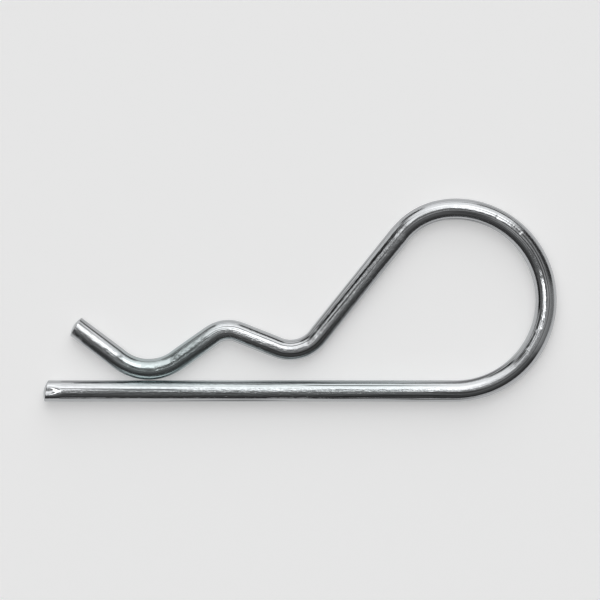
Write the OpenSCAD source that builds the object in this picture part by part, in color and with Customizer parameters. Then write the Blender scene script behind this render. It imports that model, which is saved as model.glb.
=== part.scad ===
// R clip for a hitch pin: one length of round spring wire, bent flat.
// The clip lies on its side. The straight leg runs along X, the loop is at +X
// and the sprung arm folds back over the leg to grip a cross-drilled shaft.
// All sizes are in millimetres.

/* [Wire] */
// Diameter of the spring wire
wire_d = 4; // [3:0.1:5]
// How much thinner the wire is in the tight bends of the arm
bend_thinning = 0.1; // [0.08:0.01:0.2]

/* [Shaft] */
// Diameter of the cross-drilled shaft that the clip locks
shaft_d = 16; // [14:0.1:18]
// Space left between the shaft and the underside of the crest
crest_clearance = 1.4; // [0.5:0.1:2.5]

/* [Leg] */
// Distance that the leg reaches beyond the middle of the throat
leg_overhang = 19.7; // [17:0.1:26]

/* [Loop] */
// Inside diameter of the loop
loop_inside_d = 30; // [26:0.1:34]
// Inside radius of the tighter bend where the loop runs into the arm
shoulder_inside_r = 10.8; // [8:0.1:13]
// Angle round the loop at which the shoulder starts
shoulder_start = 95; // [91:1:115]

/* [Arm] */
// Distance along the leg from the middle of the loop to the valley
loop_to_valley = 30.8; // [27:0.1:36]
// Distance along the leg from the valley to the crest
valley_to_crest = 11.6; // [10.5:0.1:15]
// Distance along the leg from the crest to the throat
crest_to_throat = 14.9; // [13.8:0.1:19]
// Gap between the leg and the underside of the valley
valley_gap = 3.7; // [2.5:0.1:4.5]
// Inside radius of the valley bend
valley_inside_r = 4.6; // [3.5:0.1:5.4]
// Inside radius of the crest bend
crest_inside_r = 3.3; // [2.5:0.1:4]
// Gap between the leg and the underside of the throat
throat_gap = 0.1; // [0.1:0.05:1]
// Inside radius of the throat bend
throat_inside_r = 7.1; // [5.5:0.1:8]

/* [Tail] */
// Straight length of the tail beyond the throat bend
tail_length = 10.6; // [7:0.1:13]
// Angle at which the tail rises from the leg
tail_rise = 37; // [30:1:45]

/* [Cropped ends] */
// Height of the crown that the cropping blade leaves on an end
crop_crown = 0.5; // [0.3:0.05:0.9]
// Slant of the cropped end of the leg
leg_crop_slant = 8.5; // [0:0.5:12]
// Slant of the cropped end of the tail
tail_crop_slant = 4; // [0:0.5:12]

/* [Hidden] */
$fn = 64;

// How far a full stretch of wire runs on over the thinner bend next to it
lap = 0.1;

wire_r = wire_d / 2;
bent_r = (wire_d - bend_thinning) / 2;
full_turn = 360;
half_turn = 180;
quarter_turn = 90;

// Bend radii on the middle line of the wire
loop_r = loop_inside_d / 2 + wire_r;
shoulder_r = shoulder_inside_r + bent_r;
valley_r = valley_inside_r + bent_r;
crest_r = crest_inside_r + bent_r;
throat_r = throat_inside_r + bent_r;

// Centres of the bends, with the leg's middle line on the X axis and the loop's centre at x = 0
loop_c = [0, loop_r];
shoulder_c = loop_c + (loop_r - shoulder_r) * [cos(shoulder_start), sin(shoulder_start)];
valley_c = [-loop_to_valley, wire_r + valley_gap + bent_r + valley_r];
crest_c = [valley_c.x - valley_to_crest, shaft_d / 2 + crest_clearance - crest_inside_r];
throat_c = [crest_c.x - crest_to_throat, wire_r + throat_gap + bent_r + throat_r];
leg_tip = [throat_c.x - leg_overhang, 0];

// Outer reach of the clip, for an origin under the middle of its outline
reach_right = loop_c.x + loop_r + wire_r;
reach_top = loop_c.y + loop_r + wire_r;
outline_middle = [(leg_tip.x + reach_right) / 2, (reach_top - wire_r) / 2];

// A bend turns the wire to its left or to its right
left = 1;
right = -1;

// Heading, within one turn, of the straight run that leaves one bend and meets the next
function run_heading(c1, r1, side1, c2, r2, side2) =
    let (heading = atan2(c2.y - c1.y, c2.x - c1.x) + asin((side1 * r1 - side2 * r2) / norm(c2 - c1)))
    heading - full_turn * floor(heading / full_turn);

// Point where a wire with this heading touches a bend
function touch(c, r, side, heading) = c + side * r * [sin(heading), -cos(heading)];

// Headings along the wire, from the tip of the leg to the tip of the tail
leg_heading = 0;
shoulder_heading = shoulder_start + quarter_turn;
diagonal_heading = run_heading(shoulder_c, shoulder_r, left, valley_c, valley_r, right);
fall_heading = run_heading(valley_c, valley_r, right, crest_c, crest_r, left);
ramp_heading = run_heading(crest_c, crest_r, left, throat_c, throat_r, right);
tail_heading = half_turn - tail_rise;

// Radius of the sphere that crowns a cropped end
crown_r = (wire_r * wire_r + crop_crown * crop_crown) / (2 * crop_crown);

// Bend of the wire about a centre, from one heading to another
module bend(c, r, section_r, heading_in, heading_out) {
    side = sign(heading_out - heading_in);
    translate(c)
        rotate(heading_in - side * quarter_turn)
            rotate_extrude(angle = heading_out - heading_in)
                translate([r, 0]) circle(r = section_r);
}

// Tight bend of the arm, where the wire is thinner
module tight_bend(c, r, heading_in, heading_out) {
    bend(c, r, bent_r, heading_in, heading_out);
}

// Straight run from one bend to the next, lapped over both
module run_between(c1, r1, side1, c2, r2, side2, heading) {
    from = touch(c1, r1, side1, heading);
    to = touch(c2, r2, side2, heading);
    translate(from)
        rotate([0, quarter_turn, heading])
            translate([0, 0, -lap])
                cylinder(h = norm(to - from) + 2 * lap, r = wire_r);
}

// Straight run along +X from a cropped tip at the origin
module cropped_run(length, slant) {
    difference() {
        rotate([0, quarter_turn, 0]) cylinder(h = length, r = wire_r);
        cropping_die(slant);
    }
}

// Block with a round hollow, which crowns and slants the tip
module cropping_die(slant) {
    block = [crown_r + wire_d, 2 * wire_d, 2 * wire_d];
    difference() {
        translate([-wire_d, -wire_d, -wire_d]) cube(block);
        translate([crown_r, crown_r * sin(slant), 0]) sphere(r = crown_r);
    }
}

// Straight leg that goes through the shaft's cross hole
module leg() {
    translate(leg_tip) cropped_run(loop_c.x - leg_tip.x, -leg_crop_slant);
}

// Loop, lapped over the tighter shoulder
module loop() {
    lap_angle = lap / loop_r * half_turn / PI;
    bend(loop_c, loop_r, wire_r, leg_heading, shoulder_heading + lap_angle);
    tight_bend(shoulder_c, shoulder_r, shoulder_heading, diagonal_heading);
}

// Sprung arm: diagonal, valley, fall, crest, ramp and throat
module arm() {
    run_between(shoulder_c, shoulder_r, left, valley_c, valley_r, right, diagonal_heading);
    tight_bend(valley_c, valley_r, diagonal_heading, fall_heading);
    run_between(valley_c, valley_r, right, crest_c, crest_r, left, fall_heading);
    tight_bend(crest_c, crest_r, fall_heading, ramp_heading);
    run_between(crest_c, crest_r, left, throat_c, throat_r, right, ramp_heading);
    tight_bend(throat_c, throat_r, ramp_heading, tail_heading);
}

// Lead-in tail, drawn from its tip back over the end of the throat
module tail() {
    tip = touch(throat_c, throat_r, right, tail_heading)
        + tail_length * [cos(tail_heading), sin(tail_heading)];
    translate(tip)
        rotate(tail_heading + half_turn)
            cropped_run(tail_length + lap, tail_crop_slant);
}

// The whole clip, one piece of wire resting on the plane z = 0
module clip_wire() {
    color("silver")
        translate([-outline_middle.x, -outline_middle.y, wire_r]) {
            leg();
            loop();
            arm();
            tail();
        }
}

clip_wire();
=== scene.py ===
# %% [markdown]
# # R clip for a hitch pin, in zinc-plated spring wire
# The real clip is one length of 4 mm spring wire. A machine bends it flat round a few pins, marks
# it a little on the way and crops it, and then it is plated with zinc. This lesson follows the same
# order: lay out the bends, draw the wire round them, mark its skin, crop its ends and give it its
# finish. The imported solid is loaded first. It is the fixed frame that the dressed wire has to fit,
# so its box is measured before anything is added.

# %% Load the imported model
import math

import bpy
import numpy as np
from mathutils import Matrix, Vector, noise
from mathutils.bvhtree import BVHTree


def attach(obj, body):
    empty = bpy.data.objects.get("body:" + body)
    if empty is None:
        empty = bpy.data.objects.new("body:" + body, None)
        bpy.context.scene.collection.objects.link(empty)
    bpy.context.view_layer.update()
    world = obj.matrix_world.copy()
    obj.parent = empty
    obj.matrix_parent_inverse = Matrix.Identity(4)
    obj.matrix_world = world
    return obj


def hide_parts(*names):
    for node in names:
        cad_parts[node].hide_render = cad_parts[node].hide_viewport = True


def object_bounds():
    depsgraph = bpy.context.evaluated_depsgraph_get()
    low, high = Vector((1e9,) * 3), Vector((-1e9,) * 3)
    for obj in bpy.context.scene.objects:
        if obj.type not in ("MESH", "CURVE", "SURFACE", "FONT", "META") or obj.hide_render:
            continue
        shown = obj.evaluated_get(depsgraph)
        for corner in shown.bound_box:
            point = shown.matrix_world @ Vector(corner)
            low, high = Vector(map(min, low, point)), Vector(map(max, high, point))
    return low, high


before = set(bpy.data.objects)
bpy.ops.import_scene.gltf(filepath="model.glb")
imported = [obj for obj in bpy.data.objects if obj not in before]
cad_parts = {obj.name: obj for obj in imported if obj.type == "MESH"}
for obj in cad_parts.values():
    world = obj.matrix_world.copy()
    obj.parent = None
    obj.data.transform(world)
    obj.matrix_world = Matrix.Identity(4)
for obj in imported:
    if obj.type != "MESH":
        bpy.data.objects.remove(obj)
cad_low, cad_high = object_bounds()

MM = 0.001
print("solid model, mm:", [round(side / MM, 2) for side in cad_high - cad_low])

# %% [markdown]
# ## Sizes of the wire form
# The wire's thickness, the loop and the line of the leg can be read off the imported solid's box.
# The bends of the arm can't, so their radii and places are named here, as on a bending jig:
# each bend turns round a pin, and pins stand at set distances along the leg. A list of points
# along the wire could do the same, but a jig keeps each bend a true arc and each run a tangent.

# %% Read the wire and the loop off the solid's box
WIRE_R = (cad_high.z - cad_low.z) / 2
LOOP_R = (cad_high.y - cad_low.y) / 2 - WIRE_R
LEG_LINE = cad_low.y + WIRE_R
LEG_TIP_X = cad_low.x
LOOP_CENTRE = Vector((cad_high.x - WIRE_R - LOOP_R, LEG_LINE + LOOP_R))
print("wire radius, mm:", round(WIRE_R / MM, 2), " loop radius, mm:", round(LOOP_R / MM, 2))

# %% Name the radius of each bend of the arm
# A tight bend stretches the wire, so it is thinner there. A bend's radius runs to the wire's middle.
BEND_THINNING = 0.05 * MM
BENT_R = WIRE_R - BEND_THINNING
SHOULDER_R = 10.8 * MM + BENT_R
VALLEY_R = 4.6 * MM + BENT_R
CREST_R = 3.3 * MM + BENT_R
THROAT_R = 7.1 * MM + BENT_R
arm_radii = (SHOULDER_R, VALLEY_R, CREST_R, THROAT_R)
print("bend radii of the arm, mm:", [round(radius / MM, 2) for radius in arm_radii])

# %% Stand the pins along the leg
SHOULDER_START = math.radians(95)
LOOP_TO_VALLEY = 30.8 * MM
VALLEY_TO_CREST = 11.6 * MM
CREST_TO_THROAT = 14.9 * MM
VALLEY_GAP = 3.7 * MM
THROAT_GAP = 0.1 * MM
CREST_UNDERSIDE = 9.4 * MM

valley_x = LOOP_CENTRE.x - LOOP_TO_VALLEY
crest_x = valley_x - VALLEY_TO_CREST
throat_x = crest_x - CREST_TO_THROAT
shoulder_outward = Vector((math.cos(SHOULDER_START), math.sin(SHOULDER_START)))
SHOULDER_CENTRE = LOOP_CENTRE + (LOOP_R - SHOULDER_R) * shoulder_outward
VALLEY_CENTRE = Vector((valley_x, LEG_LINE + WIRE_R + VALLEY_GAP + BENT_R + VALLEY_R))
CREST_CENTRE = Vector((crest_x, LEG_LINE + CREST_UNDERSIDE + BENT_R - CREST_R))
THROAT_CENTRE = Vector((throat_x, LEG_LINE + WIRE_R + THROAT_GAP + BENT_R + THROAT_R))
pins_x = (valley_x, crest_x, throat_x)
print("valley, crest and throat stand at x, mm:", [round(x / MM, 1) for x in pins_x])

# %% [markdown]
# ## Headings of the straight runs
# A straight run between two pins is their common tangent. Its heading could be measured, but it
# follows from the pins' places and radii and from the side each bend turns to. Worked out, it
# always meets both bends, and no angle has to be given twice.

# %% Work out the headings
LEFT = 1
RIGHT = -1
TAIL_RISE = math.radians(37)


def run_heading(centre_a, radius_a, side_a, centre_b, radius_b, side_b):
    """Heading of the run that leaves pin a and meets pin b."""
    across = centre_b - centre_a
    lean = math.asin((side_a * radius_a - side_b * radius_b) / across.length)
    return (math.atan2(across.y, across.x) + lean) % math.tau


LEG_HEADING = 0.0
SHOULDER_HEADING = SHOULDER_START + math.pi / 2
DIAGONAL_HEADING = run_heading(
    SHOULDER_CENTRE, SHOULDER_R, LEFT, VALLEY_CENTRE, VALLEY_R, RIGHT)
FALL_HEADING = run_heading(VALLEY_CENTRE, VALLEY_R, RIGHT, CREST_CENTRE, CREST_R, LEFT)
RAMP_HEADING = run_heading(CREST_CENTRE, CREST_R, LEFT, THROAT_CENTRE, THROAT_R, RIGHT)
TAIL_HEADING = math.pi - TAIL_RISE
arm_headings = (DIAGONAL_HEADING, FALL_HEADING, RAMP_HEADING, TAIL_HEADING)
print("headings of the arm, degrees:", [round(math.degrees(angle), 1) for angle in arm_headings])

# %% [markdown]
# ## Draw the wire
# The wire could be a curve with a bevel, but a mesh keeps an even net of faces that can take
# nicks later. So it starts as a circle at the leg's end. A repeated extrude pulls it along each
# straight run and Spin turns it round each pin. Without a window Spin turns clockwise for a
# positive angle, so a left turn is given a negative one. The net is kept coarse here, because
# each new ring takes longer on a fine one.

# %% Start with a circle at the leg's end
AROUND = 20
CROWN = 0.52 * MM
# The rim and the slant make the leg's crown reach a little further, so the leg starts further back
CROWN_SETBACK = 0.17 * MM
LEG_START = Vector((LEG_TIP_X + CROWN + CROWN_SETBACK, LEG_LINE))

bpy.ops.object.select_all(action="DESELECT")
bpy.ops.mesh.primitive_circle_add(
    vertices=AROUND, radius=WIRE_R, fill_type="NOTHING",
    location=(LEG_START.x, LEG_START.y, WIRE_R), rotation=(0, math.pi / 2, 0))
clip = bpy.context.object
clip.name = "bent_clip_wire"
clip.data.name = "bent_clip_wire"
bpy.ops.object.transform_apply(location=True, rotation=True, scale=True)
print("points in the first ring:", len(clip.data.vertices))

# %% Pull the leg straight
RUN_STEP = 1.4 * MM
FEWEST_STEPS = 2
stretches = {}
ring_along = [0.0]
wire_now = {"along": 0.0, "at": LEG_START, "heading": LEG_HEADING}


def touch(centre, radius, side, heading):
    """Point where wire with this heading touches a pin's bend."""
    return centre + side * radius * Vector((math.sin(heading), -math.cos(heading)))


def note_stretch(name, steps, length, **shape):
    """Remember a new stretch of wire and the place of each of its rings."""
    first = wire_now["along"]
    stretches[name] = {"first": first, "last": first + length, **shape}
    ring_along.extend(first + length * count / steps for count in range(1, steps + 1))
    wire_now["along"] = first + length


def pull_run(name, end):
    """Extrude the last ring straight on to an end point."""
    start = wire_now["at"]
    length = (end - start).length
    steps = max(FEWEST_STEPS, round(length / RUN_STEP))
    step = (end - start) / steps
    bpy.ops.mesh.extrude_repeat(steps=steps, offset=(step.x, step.y, 0))
    note_stretch(name, steps, length, start=start, heading=wire_now["heading"])
    wire_now["at"] = end


bpy.ops.object.mode_set(mode="EDIT")
bpy.ops.mesh.select_all(action="SELECT")
pull_run("leg", touch(LOOP_CENTRE, LOOP_R, LEFT, LEG_HEADING))
print("leg, mm:", round(wire_now["along"] / MM, 1))

# %% Turn the loop and its tighter shoulder
BEND_STEP = 1.0 * MM


def turn_bend(name, centre, radius, side, heading_out):
    """Spin the last ring round a pin until the wire has a new heading."""
    heading_in = wire_now["heading"]
    turn = heading_out - heading_in
    length = radius * abs(turn)
    steps = max(FEWEST_STEPS, round(length / BEND_STEP))
    bpy.ops.mesh.spin(
        steps=steps, angle=-turn, center=(centre.x, centre.y, WIRE_R), axis=(0, 0, 1))
    note_stretch(name, steps, length, centre=centre, radius=radius, side=side, heading=heading_in)
    wire_now["at"] = touch(centre, radius, side, heading_out)
    wire_now["heading"] = heading_out


turn_bend("loop", LOOP_CENTRE, LOOP_R, LEFT, SHOULDER_HEADING)
turn_bend("shoulder", SHOULDER_CENTRE, SHOULDER_R, LEFT, DIAGONAL_HEADING)
print("leg, loop and shoulder, mm:", round(wire_now["along"] / MM, 1))

# %% Bend the arm and let the tail rise
TAIL_LENGTH = 10.6 * MM
pull_run("diagonal", touch(VALLEY_CENTRE, VALLEY_R, RIGHT, DIAGONAL_HEADING))
turn_bend("valley", VALLEY_CENTRE, VALLEY_R, RIGHT, FALL_HEADING)
pull_run("fall", touch(CREST_CENTRE, CREST_R, LEFT, FALL_HEADING))
turn_bend("crest", CREST_CENTRE, CREST_R, LEFT, RAMP_HEADING)
pull_run("ramp", touch(THROAT_CENTRE, THROAT_R, RIGHT, RAMP_HEADING))
turn_bend("throat", THROAT_CENTRE, THROAT_R, RIGHT, TAIL_HEADING)
tail_outward = Vector((math.cos(TAIL_HEADING), math.sin(TAIL_HEADING)))
pull_run("tail", wire_now["at"] + (TAIL_LENGTH - CROWN) * tail_outward)
bpy.ops.object.mode_set(mode="OBJECT")
WIRE_END = wire_now["along"]
print("rings:", len(ring_along), " wire length, mm:", round(WIRE_END / MM, 1))

# %% [markdown]
# ## Keep the straight wire's places and refine the net
# Drawing lines, dents and plating blotches follow the wire through its bends. A UV map could hold
# that, but it has a seam. So each point keeps, as an attribute, the place it had on the straight
# wire: how far along it, and where in its round section. A Subdivision Surface modifier of the
# simple kind then splits every face and carries the attribute with it, and the true curve is
# worked out again from the finer places.

# %% Store each point's place on the straight wire
turn_angle = np.arange(AROUND) * math.tau / AROUND
coarse = np.empty((len(ring_along), AROUND, 3))
coarse[:, :, 0] = np.array(ring_along)[:, None]
coarse[:, :, 1] = WIRE_R * np.cos(turn_angle)
coarse[:, :, 2] = WIRE_R * np.sin(turn_angle)
straight_wire = clip.data.attributes.new("straight_wire", "FLOAT_VECTOR", "POINT")
straight_wire.data.foreach_set("vector", coarse.ravel())
print("places stored:", len(clip.data.vertices))

# %% Refine the net and read the finer places
REFINE_LEVELS = 2
refine = clip.modifiers.new("refine", "SUBSURF")
refine.subdivision_type = "SIMPLE"
refine.levels = REFINE_LEVELS
refine.render_levels = REFINE_LEVELS
bpy.ops.object.modifier_apply(modifier=refine.name)

points = len(clip.data.vertices)
places = np.empty(points * 3)
clip.data.attributes["straight_wire"].data.foreach_get("vector", places)
along, left_part, up_part = places.reshape(points, 3).T
# Attributes are stored with few digits, so the last ring could lie a hair beyond the wire's end
along = np.clip(along, 0, WIRE_END)
round_angle = np.arctan2(up_part, left_part)
leftward = np.cos(round_angle)
upward = np.sin(round_angle)
print("points on the wire:", points)

# %% [markdown]
# ## Shape the skin
# Real wire is thinner where it is bent tightly, wavers a little and is peened by its neighbours in
# the plating barrel. Sculpting could show that, but not the same way twice. With a distance along
# the wire and an angle round it, the skin can be worked out as if the wire were still straight, as
# one small move in or out for each point. The moves are a few hundredths of a millimetre, yet
# bright plate shows each of them.

# %% Thin the tight bends
NECK = 1.2 * MM


def smooth_step(low, high, value):
    """Rise smoothly from 0 at low to 1 at high."""
    share = np.clip((value - low) / (high - low), 0, 1)
    return share * share * (3 - 2 * share)


def between(first, last, ease):
    """1 between two distances along the wire, easing to 0 beyond them."""
    rise = smooth_step(first - ease, first + ease, along)
    return rise * (1 - smooth_step(last - ease, last + ease, along))


skin = np.zeros(points)
for name in ("shoulder", "valley", "crest", "throat"):
    stretch = stretches[name]
    skin -= BEND_THINNING * between(stretch["first"], stretch["last"], NECK)
print("points in thinner wire:", int((skin < 0).sum()))

# %% Say how much the barrel peened each place
PEEN_PLAIN = 0.9
PEEN_CHANGE = 0.5
LOOP_EASE = 8 * MM
LEG_PATCH_FIRST = 20 * MM
LEG_PATCH_LAST = 50 * MM
LEG_PATCH_EASE = 6 * MM
ARM_EASE = 2 * MM
SIDE_SHARE = 0.05
SIDE_ENDS = 0.72
TOP_STARTS = 0.95

peened = np.full(points, PEEN_PLAIN)
peened -= PEEN_CHANGE * between(stretches["loop"]["first"], stretches["shoulder"]["last"], LOOP_EASE)
peened += PEEN_CHANGE * between(LEG_PATCH_FIRST, LEG_PATCH_LAST, LEG_PATCH_EASE)
for name in ("diagonal", "fall"):
    peened += PEEN_CHANGE * between(stretches[name]["first"], stretches[name]["last"], ARM_EASE)
# The sides slid along the die and the barrel, so they are cleaner than the top
peened *= SIDE_SHARE + (1 - SIDE_SHARE) * smooth_step(SIDE_ENDS, TOP_STARTS, upward)
print("peened, from", round(peened.min(), 2), "to", round(peened.max(), 2))

# %% Let the wire waver, and peen it
WAVER_DEPTH = 0.010 * MM
PEEN_DEPTH = 0.008 * MM


def grain(length, width, seed):
    """Smooth noise over the unrolled wire, with blotches of a set length and width."""
    spots = np.column_stack((
        along / length + seed, WIRE_R * leftward / width, WIRE_R * upward / width))
    return np.array([noise.noise(Vector(spot)) for spot in spots])


skin += WAVER_DEPTH * grain(length=7 * MM, width=3 * MM, seed=11.0)
skin += PEEN_DEPTH * peened * grain(length=1.5 * MM, width=0.8 * MM, seed=47.0)
print("skin moves so far, mm:", round(skin.min() / MM, 3), "to", round(skin.max() / MM, 3))

# %% Store where the plate is peened, drawn and tinted
# The cropping blade burnishes the last few millimetres of the leg, which wipes off lines and dents
BURNISH_LENGTH = 2.4 * MM
BURNISH_EASE = 0.7 * MM
# The burnished stretch begins well before the end, so that its own easing doesn't show there
BEFORE_THE_END = -5 * MM
PEEN_WIPED = 0.97
LINES_WIPED = 0.94
# The blue passivation lies thicker on the left side of the leg's middle, and round the throat
LEG_TINT_FIRST = 12 * MM
LEG_TINT_LAST = 70 * MM
LEG_TINT_EASE = 8 * MM
LEG_TINT_MIDDLE = 0.37
LEG_TINT_LEFT = 0.6
ARM_TINT_EASE = 5 * MM

burnished = between(BEFORE_THE_END, BURNISH_LENGTH, BURNISH_EASE)
peened *= 1 - PEEN_WIPED * burnished
drawn = 1 - LINES_WIPED * burnished
tinted = np.clip(LEG_TINT_MIDDLE + LEG_TINT_LEFT * leftward, 0, 1)
tinted *= between(LEG_TINT_FIRST, LEG_TINT_LAST, LEG_TINT_EASE)
tinted += between(stretches["ramp"]["first"], stretches["throat"]["last"], ARM_TINT_EASE)
for name, values in (("peened", peened), ("tinted", tinted), ("drawn", drawn)):
    amount = clip.data.attributes.new(name, "FLOAT", "POINT")
    amount.data.foreach_set("value", values)
print("mean of peened, tinted and drawn:", [round(part.mean(), 2) for part in (peened, tinted, drawn)])

# %% [markdown]
# ## Marks of the forming tools
# The bending tools scuff the tight bends, a gripper nicks the loop, and the cropping blade bruises
# the end of the leg. They could be bump in the material, but a dent in the mesh catches the light
# from every side and is part of the shape. Each scuff or nick is a soft round dent. Its
# place is a share of its stretch and a share of the wire's width as seen from above, from -1 at
# the right edge to 1 at the left, looking along the wire.

# %% Scuff the tight bends
SCUFF_LENGTH = 0.40 * MM
SCUFF_WIDTH = 0.32 * MM
SCUFF_DEPTH = 0.055 * MM
BEND_SCUFFS = (
    ("throat", 0.36, -0.12), ("throat", 0.62, -0.28), ("throat", 0.70, -0.36),
    ("crest", 0.30, -0.40), ("crest", 0.48, -0.33), ("crest", 0.62, -0.45),
    ("valley", 0.28, -0.18), ("valley", 0.66, -0.42), ("valley", 0.80, -0.30))


def place_on(name, share):
    """Distance along the wire of a point part of the way through a stretch."""
    stretch = stretches[name]
    return stretch["first"] + share * (stretch["last"] - stretch["first"])


def press(place, across, length, width, depth):
    """Moves of the skin for one soft dent in the top of the wire."""
    off_along = (along - place) / length
    off_round = (round_angle - math.acos(across)) * WIRE_R / width
    return -depth * np.exp(-off_along ** 2 - off_round ** 2)


for name, share, across in BEND_SCUFFS:
    skin += press(place_on(name, share), across, SCUFF_LENGTH, SCUFF_WIDTH, SCUFF_DEPTH)
print("scuffs on the bends:", len(BEND_SCUFFS))

# %% Nick the outer side of the loop, and dent it here and there
NICKS = 9
NICK_LENGTH = 0.22 * MM
NICK_WIDTH = 0.32 * MM
NICK_DEPTH = 0.045 * MM
NICK_ROW_START = 0.738
NICK_ROW_LENGTH = 0.09
# The row bows outwards, along part of a sine wave
NICK_ROW_ACROSS = -0.22
NICK_ROW_BOW = 0.14
BOW_START = 0.3
BOW_TURN = 2.6
for nick in range(NICKS):
    share = nick / (NICKS - 1)
    across = NICK_ROW_ACROSS - NICK_ROW_BOW * math.sin(BOW_TURN * share + BOW_START)
    place = place_on("loop", NICK_ROW_START + NICK_ROW_LENGTH * share)
    skin += press(place, across, NICK_LENGTH, NICK_WIDTH, NICK_DEPTH)

DENT_SIZE = 0.30 * MM
DENT_DEPTH = 0.035 * MM
LOOP_DENTS = ((0.375, 0.34), (0.383, 0.22), (0.296, 0.30), (0.965, -0.42), (0.99, -0.45))
for share, across in LOOP_DENTS:
    skin += press(place_on("loop", share), across, DENT_SIZE, DENT_SIZE, DENT_DEPTH)
print("nicks and dents on the loop:", NICKS + len(LOOP_DENTS))

# %% Bruise the leg's end
# The cropping blade scoops the top of the wire, with a steep even wall on its right and an easy one
# on its left. These are shares of the wire's width, as for the dents.
BRUISE_DEPTH = 0.33 * MM
STEEP_WALL_FOOT = -0.45
STEEP_WALL_WIDTH = 0.4
EASY_WALL_TOP = -0.05
EASY_WALL_FOOT = 0.7
BRUISE_FULL_TO = 0.5 * MM
BRUISE_ENDS_AT = 2.9 * MM
steep_wall = np.clip((leftward - STEEP_WALL_FOOT) / STEEP_WALL_WIDTH, 0, 1)
easy_wall = 1 - smooth_step(EASY_WALL_TOP, EASY_WALL_FOOT, leftward)
lengthwise = 1 - smooth_step(BRUISE_FULL_TO, BRUISE_ENDS_AT, along)
skin -= BRUISE_DEPTH * steep_wall * easy_wall * lengthwise * (upward > 0)
print("skin moves, mm:", round(skin.min() / MM, 3), "to", round(skin.max() / MM, 3))

# %% [markdown]
# ## Lay the skin round the bends
# So far the marks are only numbers for straight wire. A Curve modifier could bend a straight mesh,
# but it needs a curve that follows every arc exactly. Instead each point gets the middle line's
# place and heading at its own distance along the wire, from the stretch it lies in, and stands off
# from there. Both ends are sheared on the way, because a cropping blade leaves them slanted.

# %% Slant the cropped ends
SLANT_REACH = 3.0 * MM
LEG_SLANT = math.tan(math.radians(9.7))
TAIL_SLANT = math.tan(math.radians(5.0))
shear = LEG_SLANT * WIRE_R * leftward * np.clip(1 - along / SLANT_REACH, 0, 1)
shear -= TAIL_SLANT * WIRE_R * leftward * np.clip(1 - (WIRE_END - along) / SLANT_REACH, 0, 1)
print("ends slide along the wire, mm:", round(shear.min() / MM, 2), "to", round(shear.max() / MM, 2))

# %% Follow the middle line
HAIR = 1e-9
heading = np.zeros(points)
middle = np.full((points, 2), np.nan)
for stretch in stretches.values():
    inside = (along >= stretch["first"] - HAIR) & (along <= stretch["last"] + HAIR)
    reach = along[inside] - stretch["first"]
    if "centre" in stretch:
        side = stretch["side"]
        radius = stretch["radius"]
        heading[inside] = stretch["heading"] + side * reach / radius
        arm = np.column_stack((np.sin(heading[inside]), -np.cos(heading[inside])))
        middle[inside] = np.array(stretch["centre"]) + side * radius * arm
    else:
        forward = np.array((math.cos(stretch["heading"]), math.sin(stretch["heading"])))
        heading[inside] = stretch["heading"]
        middle[inside] = np.array(stretch["start"]) + reach[:, None] * forward
print("points without a place:", int(np.isnan(middle).any(axis=1).sum()))

# %% Move the points to the skin
sideways = (WIRE_R + skin) * leftward
skin_points = np.column_stack((
    middle[:, 0] - sideways * np.sin(heading) + shear * np.cos(heading),
    middle[:, 1] + sideways * np.cos(heading) + shear * np.sin(heading),
    WIRE_R + (WIRE_R + skin) * upward))
clip.data.vertices.foreach_set("co", skin_points.ravel())
clip.data.update()
print("skin reaches, mm:", [round(side / MM, 2) for side in np.ptp(skin_points, axis=0)])

# %% [markdown]
# ## Crop the ends
# A cropping blade leaves a low crown with a rolled rim. A filled and bevelled end would be even all
# round, but the slanted ring should keep its slant. So the end ring is extruded in small steps,
# each pushed out a little and shrunk about its own middle, and the last one is merged to a point.
# Rim and crown are two arcs, so the steps come from sines and cosines.

# %% Work out the crown's outline
RIM_R = 0.18 * MM
RIM_STEPS = 4
CROWN_STEPS = 6


def crown_profile():
    """Radius and height of each ring from the rim towards the middle, and the height there."""
    flat_r = WIRE_R - RIM_R
    dome = CROWN - RIM_R / 2
    dome_r = (flat_r ** 2 + dome ** 2) / (2 * dome)
    rim_turn = math.pi / 2 - math.asin(flat_r / dome_r)
    profile = []
    for count in range(1, RIM_STEPS + 1):
        angle = rim_turn * count / RIM_STEPS
        profile.append((flat_r + RIM_R * math.cos(angle), RIM_R * math.sin(angle)))
    rim_radius, rim_height = profile[-1]
    rim_lean = math.asin(rim_radius / dome_r)
    for count in range(1, CROWN_STEPS):
        lean = rim_lean * (1 - count / CROWN_STEPS)
        rise = dome_r * (math.cos(lean) - math.cos(rim_lean))
        profile.append((dome_r * math.sin(lean), rim_height + rise))
    return profile, rim_height + dome_r * (1 - math.cos(rim_lean))


crown_rings, crown_top = crown_profile()
print("rings on a crown:", len(crown_rings), " its height, mm:", round(crown_top / MM, 2))

# %% Close both ends with a crown
END_RING_REACH = 1e-7
LEG_OUTWARD = Vector((-1, 0))


def select_end_ring(end_along):
    """Select the ring of points at an end of the wire, ready for edit mode."""
    bpy.ops.object.mode_set(mode="EDIT")
    bpy.ops.mesh.select_mode(type="VERT")
    bpy.ops.mesh.select_all(action="DESELECT")
    bpy.ops.object.mode_set(mode="OBJECT")
    for point in np.flatnonzero(np.abs(along - end_along) < END_RING_REACH):
        clip.data.vertices[point].select = True


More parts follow.
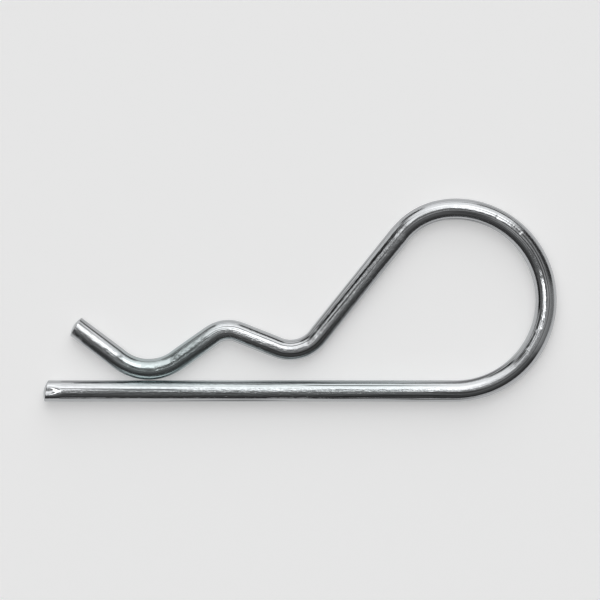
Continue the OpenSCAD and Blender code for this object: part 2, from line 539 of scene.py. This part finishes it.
def crown_end(end_along, end_middle, outward):
    """Close an end of the wire with a crown."""
    select_end_ring(end_along)
    bpy.ops.object.mode_set(mode="EDIT")
    at = Vector((end_middle.x, end_middle.y, WIRE_R))
    forward = Vector((outward.x, outward.y, 0))
    radius_now = WIRE_R
    height_now = 0.0
    for radius, height in crown_rings:
        push = forward * (height - height_now)
        bpy.ops.mesh.extrude_region_move(TRANSFORM_OT_translate={"value": push})
        at = at + push
        shrink = radius / radius_now
        bpy.ops.transform.resize(value=(shrink, shrink, shrink), center_override=at)
        radius_now = radius
        height_now = height
    last_push = forward * (crown_top - height_now)
    bpy.ops.mesh.extrude_region_move(TRANSFORM_OT_translate={"value": last_push})
    bpy.ops.mesh.merge(type="CENTER")
    bpy.ops.object.mode_set(mode="OBJECT")


crown_end(WIRE_END, wire_now["at"], tail_outward)
crown_end(0.0, LEG_START, LEG_OUTWARD)
print("points added by the crowns:", len(clip.data.vertices) - points)

# %% Turn the faces outwards and look for open edges
bpy.ops.object.mode_set(mode="EDIT")
bpy.ops.mesh.select_all(action="SELECT")
bpy.ops.mesh.normals_make_consistent(inside=False)
bpy.ops.mesh.select_all(action="DESELECT")
bpy.ops.mesh.select_non_manifold()
bpy.ops.object.mode_set(mode="OBJECT")
open_points = sum(vertex.select for vertex in clip.data.vertices)
bpy.ops.object.shade_smooth()
print("faces:", len(clip.data.polygons), " points on an open edge:", open_points)

# %% [markdown]
# ## Places on the crowns, and a look at the fit
# The points of a crown grew out of one ring, so the pattern of the plate would smear over the
# cropped face. They could have a material of their own, but the plate is the same. So each gets
# its own place in the wire's frame, and its own share of lines and dents. Then the finished skin
# is measured against the solid, which it has to follow.

# %% Give the crowns their own places
total_points = len(clip.data.vertices)
END_REACH = 4 * WIRE_R
spots = np.empty(total_points * 3)
clip.data.vertices.foreach_get("co", spots)
spots = spots.reshape(total_points, 3)
places = np.empty(total_points * 3)
clip.data.attributes["straight_wire"].data.foreach_get("vector", places)
places = places.reshape(total_points, 3)
added = np.arange(total_points) >= points
for end_along, end_middle, end_heading in (
        (0.0, LEG_START, LEG_HEADING), (WIRE_END, wire_now["at"], TAIL_HEADING)):
    off = spots[:, :2] - np.array(end_middle)
    on_crown = added & (np.hypot(off[:, 0], off[:, 1]) < END_REACH)
    forward = np.array((math.cos(end_heading), math.sin(end_heading)))
    leftwise = np.array((-forward[1], forward[0]))
    places[on_crown, 0] = end_along + off[on_crown] @ forward
    places[on_crown, 1] = off[on_crown] @ leftwise
    places[on_crown, 2] = spots[on_crown, 2] - WIRE_R
clip.data.attributes["straight_wire"].data.foreach_set("vector", places.ravel())
tips = (places[:, 0].min(), places[:, 0].max())
print("tips along the wire, mm:", [round(tip / MM, 2) for tip in tips])

# %% Leave few drawing lines on the cropped faces
# A sheared face has almost none of the lines that drawing leaves along the wire
CROWN_DRAWN = 0.1
CROWN_PEENED = 0.5
for point in range(points, total_points):
    clip.data.attributes["drawn"].data[point].value = CROWN_DRAWN
    clip.data.attributes["peened"].data[point].value = CROWN_PEENED
print("points on the cropped faces:", total_points - points)

# %% Measure the skin against the solid
SAMPLE_STEP = 7
NEARLY_ALL = 99
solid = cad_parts["clip_wire"].data
solid_tree = BVHTree.FromPolygons(
    [vertex.co for vertex in solid.vertices], [face.vertices for face in solid.polygons])
gaps = [solid_tree.find_nearest(Vector(spot))[3] for spot in spots[::SAMPLE_STEP]]
print("furthest from the solid, mm:", round(max(gaps) / MM, 3),
      " nearly all within, mm:", round(np.percentile(gaps, NEARLY_ALL) / MM, 3))

# %% [markdown]
# ## Bright zinc plate over drawn wire
# Zinc plate on drawn wire is a mirror that isn't quite clean. Drawing through a die leaves fine
# lines along the wire, barrel plating leaves small dull blotches, and the clear blue passivation
# tints it faintly in places. One even metal would look like chrome. So the material is a metal of
# high gloss, with bump along the lines, roughness that varies, a colour that drifts between
# neutral and blue, and painted shade that darkens the colour along the lines. It reads the stored
# places, so its pattern follows the wire through the bends.

# %% Turn colours to linear values
def linear(hex_colour):
    """Turn an sRGB hex colour into linear values with full alpha."""
    parts = [int(hex_colour[place:place + 2], 16) / 255 for place in (1, 3, 5)]
    low = [part / 12.92 for part in parts]
    high = [((part + 0.055) / 1.055) ** 2.4 for part in parts]
    return [a if part <= 0.04045 else b for part, a, b in zip(parts, low, high)] + [1.0]


ZINC = linear("#bcbec0")
BLUE_PASSIVATED_ZINC = linear("#b3bcbd")
print("zinc, linear:", [round(part, 3) for part in ZINC])

# %% Start the zinc plate from the stored places
def add_node(tree, kind, inputs=None, **settings):
    """Add a node, set its properties, and set or link its inputs."""
    made = tree.nodes.new(kind)
    for name, value in settings.items():
        setattr(made, name, value)
    for socket, value in (inputs or {}).items():
        if isinstance(value, bpy.types.NodeSocket):
            tree.links.new(value, made.inputs[socket])
        else:
            made.inputs[socket].default_value = value
    return made


zinc = bpy.data.materials.new("bright_zinc_plate_on_drawn_steel_wire")
zinc.use_nodes = True
tree = zinc.node_tree
tree.nodes.clear()
wire_place = add_node(tree, "ShaderNodeAttribute", attribute_name="straight_wire").outputs["Vector"]
peened_here = add_node(tree, "ShaderNodeAttribute", attribute_name="peened").outputs["Fac"]
tinted_here = add_node(tree, "ShaderNodeAttribute", attribute_name="tinted").outputs["Fac"]
drawn_here = add_node(tree, "ShaderNodeAttribute", attribute_name="drawn").outputs["Fac"]
print("attributes read by the plate:", len(tree.nodes))

# %% Draw the lines and the speckles
# Real drawing lines are a few hundredths of a millimetre apart. They are drawn coarser to show.
LINE_LENGTH = 30 * MM
LINE_PITCH = 0.31 * MM
SPECKLE_LENGTH = 1.0 * MM
SPECKLE_WIDTH = 0.27 * MM
NO_LINE = 0.52
line_scale = (1 / LINE_LENGTH, 1 / LINE_PITCH, 1 / LINE_PITCH)
speckle_scale = (1 / SPECKLE_LENGTH, 1 / SPECKLE_WIDTH, 1 / SPECKLE_WIDTH)

line_place = add_node(tree, "ShaderNodeVectorMath", {0: wire_place, 1: line_scale}, operation="MULTIPLY")
speckle_place = add_node(
    tree, "ShaderNodeVectorMath", {0: wire_place, 1: speckle_scale}, operation="MULTIPLY")
all_lines = add_node(tree, "ShaderNodeTexNoise", {
    "Vector": line_place.outputs[0], "Scale": 1.0, "Detail": 2.0, "Roughness": 0.5})
speckle = add_node(tree, "ShaderNodeTexNoise", {
    "Vector": speckle_place.outputs[0], "Scale": 1.0, "Detail": 2.0, "Roughness": 0.5}).outputs["Fac"]
lines = add_node(tree, "ShaderNodeMix", {
    0: drawn_here, 2: NO_LINE, 3: all_lines.outputs["Fac"]}, data_type="FLOAT").outputs[0]
print("lines per mm:", round(MM / LINE_PITCH, 1), " speckles per mm:", round(MM / SPECKLE_WIDTH, 1))

# %% Raise them as bump
# Lines and speckles bend the reflections, which is what the eye reads as drawn, plated wire
LINE_DEPTH = 0.045 * MM
SPECKLE_DEPTH = 0.045 * MM
speckle_height = add_node(tree, "ShaderNodeMath", {0: speckle, 1: peened_here}, operation="MULTIPLY")
line_bump = add_node(tree, "ShaderNodeBump", {
    "Height": lines, "Strength": 1.0, "Distance": LINE_DEPTH})
speckle_bump = add_node(tree, "ShaderNodeBump", {
    "Height": speckle_height.outputs[0], "Strength": 1.0, "Distance": SPECKLE_DEPTH,
    "Normal": line_bump.outputs["Normal"]})
print("depth of lines and speckles, mm:", round(LINE_DEPTH / MM, 3), round(SPECKLE_DEPTH / MM, 3))

# %% Dull the plate in spots and along the lines
# A bright plate is nearly a mirror. Dull spots and lines take the edge off its highlights.
GLOSSIEST = 0.045
DULLEST_SPOT = 0.13
DULLEST_LINE = 0.18
spot_dullness = add_node(tree, "ShaderNodeMapRange", {
    "Value": speckle, "From Min": 0.35, "From Max": 0.7, "To Min": GLOSSIEST, "To Max": DULLEST_SPOT})
line_dullness = add_node(tree, "ShaderNodeMapRange", {
    "Value": lines, "From Min": 0.54, "From Max": 0.68, "To Min": 0.0, "To Max": DULLEST_LINE})
dullness = add_node(tree, "ShaderNodeMath", {
    0: spot_dullness.outputs["Result"], 1: line_dullness.outputs["Result"]}, operation="ADD")
print("roughness, from", GLOSSIEST, "to", round(DULLEST_SPOT + DULLEST_LINE, 2))

# %% Colour the zinc and join it up
# Bright zinc, bluish where the passivation lies thicker, with painted shade darkening it along each
# drawing line
DARKEST_PAINTED_LINE_SHADE = 0.3
colour = add_node(tree, "ShaderNodeMix", {
    0: tinted_here, 6: ZINC, 7: BLUE_PASSIVATED_ZINC}, data_type="RGBA")
# Painted shade: the colour is darkened along the drawing lines, in place of their dark reflections
painted_line_shade = add_node(tree, "ShaderNodeMapRange", {
    "Value": lines, "From Min": 0.38, "From Max": 0.45, "To Min": DARKEST_PAINTED_LINE_SHADE, "To Max": 1.0})
colour_with_painted_line_shade = add_node(tree, "ShaderNodeVectorMath", {
    0: colour.outputs[2], 3: painted_line_shade.outputs["Result"]}, operation="SCALE")
shader = add_node(tree, "ShaderNodeBsdfPrincipled", {
    "Base Color": colour_with_painted_line_shade.outputs[0], "Metallic": 1.0, "Roughness": dullness.outputs[0],
    "Normal": speckle_bump.outputs["Normal"]})
add_node(tree, "ShaderNodeOutputMaterial", {"Surface": shader.outputs["BSDF"]})
clip.data.materials.append(zinc)
print("nodes in the zinc plate:", len(tree.nodes))

# %% Put the wire on its body
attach(clip, "root")
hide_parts("clip_wire")
print("stands for the solid clip_wire:", clip.name)

# %% [markdown]
# ## A pale floor
# The clip lies on pale matt paper. Bright wire mirrors the floor along both its edges, so the floor
# gives it its light rims. More light could make the paper paler, but it would wash out the wire.
# So the paper is a diffuse grey that takes the clip's shadow, and it glows a little for rays that
# look at it, straight or in the metal.

# %% Lay the floor
FLOOR_SIZE = 6.0
FLOOR_GLOW = 0.32
bpy.ops.object.select_all(action="DESELECT")
bpy.ops.mesh.primitive_plane_add(size=FLOOR_SIZE, location=(0, 0, 0))
floor = bpy.context.object
floor.name = "studio_floor"
paper = bpy.data.materials.new("pale_matt_paper")
paper.use_nodes = True
tree = paper.node_tree
tree.nodes.clear()
rays = add_node(tree, "ShaderNodeLightPath")
seen = add_node(tree, "ShaderNodeMath", {
    0: rays.outputs["Is Camera Ray"], 1: rays.outputs["Is Glossy Ray"]}, operation="MAXIMUM")
seen_through = add_node(tree, "ShaderNodeMath", {
    0: seen.outputs[0], 1: rays.outputs["Is Transmission Ray"]}, operation="MAXIMUM")
lift = add_node(tree, "ShaderNodeMath", {0: seen_through.outputs[0], 1: FLOOR_GLOW}, operation="MULTIPLY")
matt = add_node(tree, "ShaderNodeBsdfDiffuse", {"Color": linear("#e4e4e4")})
glow = add_node(tree, "ShaderNodeEmission", {
    "Color": linear("#ffffff"), "Strength": lift.outputs[0]})
both = add_node(tree, "ShaderNodeAddShader", {0: matt.outputs[0], 1: glow.outputs[0]})
add_node(tree, "ShaderNodeOutputMaterial", {"Surface": both.outputs[0]})
floor.data.materials.append(paper)
print("floor, m:", FLOOR_SIZE)

# %% [markdown]
# ## A studio to mirror
# Bright wire shows its surroundings more than itself, so the studio is built for what the wire
# mirrors. Area lamps could do it, but each would also show up as a hard-edged shape. Here the
# world is dark and holds soft panels. Each has a bearing, counted in degrees from the loop's side
# (0) to beyond the clip (90), the open end (180) and the near side (270), and it hangs from its top
# to its foot, in degrees from straight up. A panel of negative strength is a dark flag in front of
# a bright one.

# %% Find the bearing and tilt of each ray
studio = bpy.data.worlds.new("studio")
bpy.context.scene.world = studio
studio.use_nodes = True
tree = studio.node_tree
tree.nodes.clear()
facing = add_node(tree, "ShaderNodeTexCoord").outputs["Generated"]
facing_parts = add_node(tree, "ShaderNodeSeparateXYZ", {0: facing})
bearing = add_node(tree, "ShaderNodeMath", {
    0: facing_parts.outputs["Y"], 1: facing_parts.outputs["X"]}, operation="ARCTAN2").outputs[0]
tilt = add_node(tree, "ShaderNodeMath", {0: facing_parts.outputs["Z"]}, operation="ARCCOSINE").outputs[0]
print("nodes that find a ray's way:", len(tree.nodes))

# %% Hang the bright sheets beyond the clip
def soft_panel(centre, half_width, top, foot, edge, strength):
    """Light of a soft-edged panel about a bearing, from its top to its foot, all in degrees."""
    off = add_node(tree, "ShaderNodeMath", {0: bearing, 1: math.radians(centre)}, operation="SUBTRACT")
    wrapped = add_node(tree, "ShaderNodeMath", {
        0: off.outputs[0], 1: math.pi, 2: -math.pi}, operation="WRAP")
    distance = add_node(tree, "ShaderNodeMath", {0: wrapped.outputs[0]}, operation="ABSOLUTE")
    light = strength
    for angle, outside, inside in (
            (distance.outputs[0], half_width + edge, half_width - edge),
            (tilt, top - edge, top + edge),
            (tilt, foot + edge, foot - edge)):
        fade = add_node(tree, "ShaderNodeMapRange", {
            "Value": angle, "From Min": math.radians(outside), "From Max": math.radians(inside)},
            interpolation_type="SMOOTHSTEP")
        light = add_node(tree, "ShaderNodeMath", {
            0: light, 1: fade.outputs["Result"]}, operation="MULTIPLY").outputs[0]
    return light


panels = [
    # The tall white sheet gives the long highlight on the leg and on the top of the loop
    soft_panel(centre=89, half_width=40, top=5, foot=78, edge=7, strength=0.98),
    # Its right half is brighter high up, and a strip in its middle lower down
    soft_panel(centre=70, half_width=18, top=8, foot=42, edge=7, strength=0.8),
    soft_panel(centre=99, half_width=8, top=30, foot=52, edge=6, strength=0.4),
    # A dark flag shades its top, left of the middle
    soft_panel(centre=106, half_width=8, top=-5, foot=22, edge=6, strength=-0.45),
    # Two low strips, with a dark gap between them, brighten the upper edge of the wire
    soft_panel(centre=93, half_width=18, top=76, foot=100, edge=3, strength=0.8),
    soft_panel(centre=152, half_width=20, top=76, foot=100, edge=3, strength=0.62),
    soft_panel(centre=124, half_width=7, top=60, foot=92, edge=5, strength=-0.3),
]
print("panels beyond the clip:", len(panels))

# %% Set the lamps on the side of the open end
panels += [
    # The strong lamp gives the white streak on the right of the loop
    soft_panel(centre=178, half_width=17, top=3, foot=28, edge=5, strength=2.2),
    # A smaller, lower one carries that streak on round the loop's lower right
    soft_panel(centre=152, half_width=9, top=28, foot=45, edge=5, strength=0.95),
    # Dim strips between them and the white sheet give the soft light on diagonal and ramp
    soft_panel(centre=142, half_width=11, top=4, foot=45, edge=6, strength=0.12),
    soft_panel(centre=127, half_width=6, top=4, foot=24, edge=5, strength=0.2),
    # A dim strip further down lightens the inside of the loop
    soft_panel(centre=188, half_width=16, top=47, foot=58, edge=5, strength=0.16),
]
print("panels so far:", len(panels))

# %% Add the dim walls and the glow overhead
panels += [
    # The walls on the loop's side give the grey outer side of the loop
    soft_panel(centre=-11, half_width=20, top=3, foot=90, edge=6, strength=0.16),
    soft_panel(centre=25, half_width=22, top=8, foot=38, edge=6, strength=0.17),
    # Soft glows on the near side lighten the wire where its highlight turns dark
    soft_panel(centre=305, half_width=14, top=-5, foot=24, edge=8, strength=0.12),
    soft_panel(centre=237, half_width=12, top=-20, foot=26, edge=10, strength=0.24),
    soft_panel(centre=278, half_width=36, top=-20, foot=12, edge=14, strength=0.13),
    # The ceiling is faintly lit all round
    soft_panel(centre=0, half_width=360, top=-30, foot=47, edge=22, strength=0.09),
]
print("panels in all:", len(panels))

# %% Light the studio
ROOM = 0.042
DARKEST = 0.02
LIGHT = 1.39
total = ROOM
for panel in panels:
    total = add_node(tree, "ShaderNodeMath", {0: total, 1: panel}, operation="ADD").outputs[0]
never_below_dark = add_node(tree, "ShaderNodeMath", {0: total, 1: DARKEST}, operation="MAXIMUM")
level = add_node(tree, "ShaderNodeMath", {
    0: never_below_dark.outputs[0], 1: LIGHT}, operation="MULTIPLY")
sky = add_node(tree, "ShaderNodeBackground", {
    "Color": linear("#ffffff"), "Strength": level.outputs[0]})
add_node(tree, "ShaderNodeOutputWorld", {"Surface": sky.outputs[0]})
print("nodes in the studio:", len(tree.nodes))

# %% [markdown]
# ## The camera
# The clip is seen square from above, with hardly any perspective. An orthographic camera would
# have none at all, and a real one always has a little. So a long lens hangs high over the clip,
# at the height where the view is as wide as it should be at the wire's middle.

# %% Hang the camera straight above
VIEW_WIDTH = 112.15 * MM
LENS = 250.0
SENSOR = 36.0
CAMERA_REACH = 20.0
camera_height = WIRE_R + VIEW_WIDTH * LENS / SENSOR
bpy.ops.object.camera_add(location=(0, 0, camera_height), rotation=(0, 0, 0))
camera = bpy.context.object
camera.data.lens = LENS
camera.data.sensor_width = SENSOR
camera.data.clip_end = CAMERA_REACH
bpy.context.scene.camera = camera
bpy.context.scene.view_settings.view_transform = "Standard"
print("camera height, m:", round(camera_height, 3))
